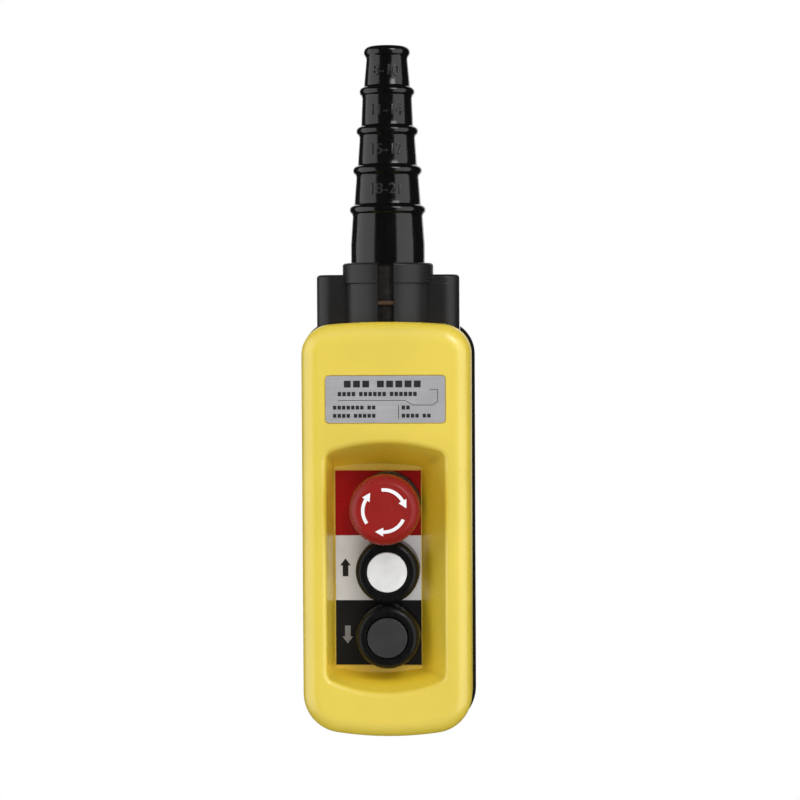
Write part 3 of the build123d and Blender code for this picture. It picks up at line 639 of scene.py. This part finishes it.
SERRATIONS, SERRATION_DEPTH = 84, 0.7
ARROW_R, ARROW_STROKE, ARROW_START, ARROW_BASE = 9.4, 1.5, -6.0, 62.0
ARROW_HEAD_WIDE, ARROW_HEAD_LONG = 3.9, 3.6


def head_face(r, front):
    """Depth of the mushroom's face at a radius: a very shallow dome."""
    return front + 0.55 * (r / 12.3) ** 2


def make_stop_head():
    low, high = box_mm("stop_head")
    x, z, front = (low.x + high.x) / 2, (low.z + high.z) / 2, low.y
    rim = (high.x - low.x) / 2
    rim_front, rim_back = front + 4.3, front + 12.0
    face = [Vector((r, head_face(r, front))) for r in (0, 3, 6, 8, 9.5, 11, 12.1)]
    skirt = rounded([
        (12.3, front + 0.57, 0),
        (12.9, front + 0.85, 0.5),
        (rim - 0.5, front + 3.0, 0.9),
        (rim, rim_front, 0.7),
        (rim, rim_back, 0.8),
        (rim - 0.8, rim_back + 0.9, 0.5),
        (10.9, front + 18.4, 1.6),
        (10.8, high.y, 0.3),
        (9.3, high.y, 0.0),
        (9.3, front + 7.6, 0.5),
        (6.6, front + 7.6, 0.5),
        (6.6, front + 25.2, 0.2),
        (4.06, front + 25.2, 0.0),
        (4.06, front + 5.3, 0.0),
        (0.0, front + 5.3, 0.0),
    ])

    def serration(r, along, angle):
        if r < rim - 2.4:
            return 0.0
        starts = min(1.0, max(0.0, (along - front - 1.4) / 1.6))
        ends = min(1.0, max(0.0, (rim_back + 0.6 - along) / 0.7))
        wave = abs(math.sin(SERRATIONS * angle / 2))
        return -SERRATION_DEPTH * starts * ends * (1 - wave) ** 0.8

    outline = finer(face + skirt, 1.6)
    head = add_object("mushroom_head", lathe(outline, about_push_axis(x, z), SERRATIONS * 6, serration),
                      LOOKS["stop_red"])
    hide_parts("stop_head")
    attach(head, "stop_head")
    for k in range(3):
        make_turn_arrow(k, x, z, front)


def make_turn_arrow(index, x, z, front):
    """One of the three white arrows on the face: a curved stroke that ends in a straight head."""
    proud, sunk = 0.07, 0.12
    place = about_push_axis(x, z)
    turn = math.radians(120 * index)
    half, inner, outer = ARROW_STROKE / 2, ARROW_R - ARROW_STROKE / 2, ARROW_R + ARROW_STROKE / 2
    steps = 22
    angles = [math.radians(ARROW_START + (ARROW_BASE - ARROW_START) * k / steps) for k in range(steps + 1)]
    rows = [[(inner + (outer - inner) * j / 4, a) for j in range(5)] for a in angles]
    base = math.radians(ARROW_BASE)
    middle = Vector((ARROW_R * math.sin(base), ARROW_R * math.cos(base)))
    along = Vector((math.cos(base), -math.sin(base)))
    outward = middle.normalized()
    head_rows = []
    head_steps = 8
    for k in range(head_steps + 1):
        width = ARROW_HEAD_WIDE / 2 * (1 - k / head_steps) + 0.02
        centre = middle + along * ARROW_HEAD_LONG * k / head_steps
        row = [centre + outward * width * (j / 2 - 1) for j in range(5)]
        head_rows.append([(p.length, math.atan2(p.x, p.y)) for p in row])
    shape = bmesh.new()
    for patch in (rows, head_rows):
        layers = []
        for lift in (-proud, sunk):
            layers.append([
                [shape.verts.new(place(r, a + turn, head_face(r, front) + lift)) for r, a in row]
                for row in patch
            ])
        for top in layers:
            for one, two in zip(top, top[1:]):
                for j in range(4):
                    shape.faces.new((one[j], one[j + 1], two[j + 1], two[j]))
        for a, b in ((0, 0), (-1, -1)):
            for j in range(4):
                shape.faces.new((layers[0][a][j], layers[0][a][j + 1], layers[1][b][j + 1], layers[1][b][j]))
        for j in (0, 4):
            for k in range(len(patch) - 1):
                shape.faces.new((layers[0][k][j], layers[0][k + 1][j], layers[1][k + 1][j], layers[1][k][j]))
    arrow = add_object(f"turn_arrow_{index + 1}", shape, INK_WHITE, smooth=False)
    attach(arrow, "stop_head")


# ---------------------------------------------------------------- push buttons


def make_push_boot(name):
    """Rubber boot round the cap, from its lip at the crest back to its foot on the panel."""
    low, high = box_mm(f"{name}_boot")
    x, z = (low.x + high.x) / 2, (low.z + high.z) / 2
    outer, crest, foot = (high.x - low.x) / 2, low.y, high.y
    bend, wall, mouth = 3.5, 1.1, 9.55
    points = [Vector((mouth, crest + 1.5)), Vector((mouth, crest + 0.6)), Vector((mouth + 0.15, crest + 0.2))]
    points += [Vector((mouth + 0.5, crest)), Vector((outer - bend, crest))]
    points += arc((outer - bend, crest + bend), (bend, bend), -85, -5, 14)
    points += [Vector((outer, crest + bend)), Vector((outer, foot - 1.6)), Vector((outer - 0.1, foot - 1.3))]
    points += [Vector((outer, foot - 1.0)), Vector((outer, foot - 0.15)), Vector((outer - 0.15, foot))]
    points += [Vector((outer - wall, foot)), Vector((outer - wall, crest + bend))]
    points += arc((outer - bend, crest + bend), (bend - wall, bend - wall), 0, -90, 8)
    points.append(points[0].copy())
    boot = add_object(f"{name}_rubber_boot", lathe(finer(points, 1.2), about_push_axis(x, z), 128),
                      LOOKS["black_rubber"])
    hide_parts(f"{name}_boot")
    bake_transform(boot)


def make_coil(node, wire, turns):
    """A compression spring with closed ends, running from the front to the back of its CAD node."""
    low, high = box_mm(node)
    x, z = (low.x + high.x) / 2, (low.z + high.z) / 2
    radius = (high.x - low.x) / 2 - wire
    front, back = low.y + wire, high.y - wire
    slices, sides = int(turns * 40), 10
    shape = bmesh.new()
    rings = []
    for k in range(slices + 1):
        share = k / slices
        active = min(1.0, max(0.0, (share * turns - 0.75) / (turns - 1.5)))
        depth = front + (back - front) * active
        angle = 2 * math.pi * turns * share
        ring = []
        for j in range(sides):
            tilt = 2 * math.pi * j / sides
            r = radius + wire * math.cos(tilt)
            ring.append(shape.verts.new((x + r * math.sin(angle), depth + wire * math.sin(tilt),
                                         z + r * math.cos(angle))))
        rings.append(ring)
    for one, two in zip(rings, rings[1:]):
        for j in range(sides):
            n = (j + 1) % sides
            shape.faces.new((one[j], one[n], two[n], two[j]))
    shape.faces.new(rings[0])
    shape.faces.new(rings[-1])
    coil = add_object(f"{node}_wire", shape, LOOKS["spring_steel"])
    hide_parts(node)
    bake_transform(coil)


# ---------------------------------------------------------------- printed details


def print_on(name, outlines, front_node, look):
    """Thin printed shapes that lie on the front of a CAD node, as one piece."""
    front = box_mm(front_node)[0].y
    shape = bmesh.new()
    for outline in outlines:
        add_plate(shape, outline, front - 0.05, front + 0.02)
    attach(add_object(name, shape, look, smooth=False), "case")


def bar(x0, x1, z, thick):
    return [(x0, z - thick / 2), (x1, z - thick / 2), (x1, z + thick / 2), (x0, z + thick / 2)]


def words(start, z, tall, letter, widths):
    """Blocks that stand in for words: one small block a letter. Each width counts a word's letters."""
    blocks = []
    x = start
    for count in widths:
        for _ in range(count):
            blocks.append(bar(x, x + letter * 0.74, z, tall))
            x += letter
        x += letter * 0.6
    return blocks


def stroke(points, wide):
    """A thin line along points in (x, z), as one bar for each stretch."""
    outlines = []
    for one, two in zip(points, points[1:]):
        a, b = Vector(one), Vector(two)
        side = (b - a).orthogonal().normalized() * wide / 2
        along = (b - a).normalized() * wide / 2
        corners = (a - along - side, b + along - side, b + along + side, a - along + side)
        outlines.append([tuple(corner) for corner in corners])
    return outlines


def arrow_outline(x, z, up):
    """A straight arrow that points up or down, round its middle at (x, z)."""
    tall, wide, head, stem = 8.3, 5.0, 3.3, 2.6
    points = [(0, tall / 2), (wide / 2, tall / 2 - head), (stem / 2, tall / 2 - head), (stem / 2, -tall / 2),
              (-stem / 2, -tall / 2), (-stem / 2, tall / 2 - head), (-wide / 2, tall / 2 - head)]
    flip = 1 if up else -1
    return [(x + flip * px, z + flip * pz) for px, pz in points]


# Each row of the rating plate: left end, height above the plate's middle, tall, letter width, words
TITLE_ROWS = ((-18.6, 6.9, 3.0, 4.15, (3, 5)),)
SUBTITLE_ROWS = ((-21.4, 2.4, 1.9, 2.1, (4, 6, 6)),)
RATING_ROWS = (
    (-23.6, -3.7, 1.7, 2.05, (7, 2)),
    (7.4, -3.7, 1.7, 2.05, (2,)),
    (-23.6, -7.4, 1.7, 2.05, (4, 5)),
    (7.4, -7.4, 1.7, 2.05, (4, 2)),
)
FRAME_LINE = ((-21.2, -0.5), (8.8, -0.5), (12.6, -2.6), (21.4, -2.6), (23.6, -1.0), (23.6, 4.4), (20.0, 4.4))
DIVIDER = ((6.0, -8.6), (6.0, -2.9))


def make_printing():
    print_on("up_arrow", [arrow_outline(-20.0, -239.4, True)], "up_legend", INK_BLACK)
    print_on("down_arrow", [arrow_outline(-19.1, -270.6, False)], "down_legend", INK_GREY)
    low, high = box_mm("rating_plate")
    middle = (low.z + high.z) / 2
    for name, rows in (("title", TITLE_ROWS), ("subtitle", SUBTITLE_ROWS), ("ratings", RATING_ROWS)):
        blocks = []
        for start, up, tall, letter, widths in rows:
            blocks += words(start, middle + up, tall, letter, widths)
        print_on(f"plate_{name}", blocks, "rating_plate", INK_BLACK)
    lines = []
    for points, wide in ((FRAME_LINE, 0.22), (DIVIDER, 0.25)):
        lines += stroke([(x, middle + up) for x, up in points], wide)
    print_on("plate_lines", lines, "rating_plate", INK_BLACK)


# ---------------------------------------------------------------- the whole scene

make_camera()
make_light()
make_floor()
dress_cad_nodes()
make_sleeve()
make_stop_head()
for button in ("up", "down"):
    make_push_boot(button)
    make_coil(f"{button}_spring", 0.45, 6)
    make_coil(f"{button}_contact_spring", 0.3, 7)
make_coil("stop_spring", 0.5, 6)
make_coil("stop_contact_spring", 0.3, 7)
make_coil("stop_return_spring", 0.4, 8)
make_printing()
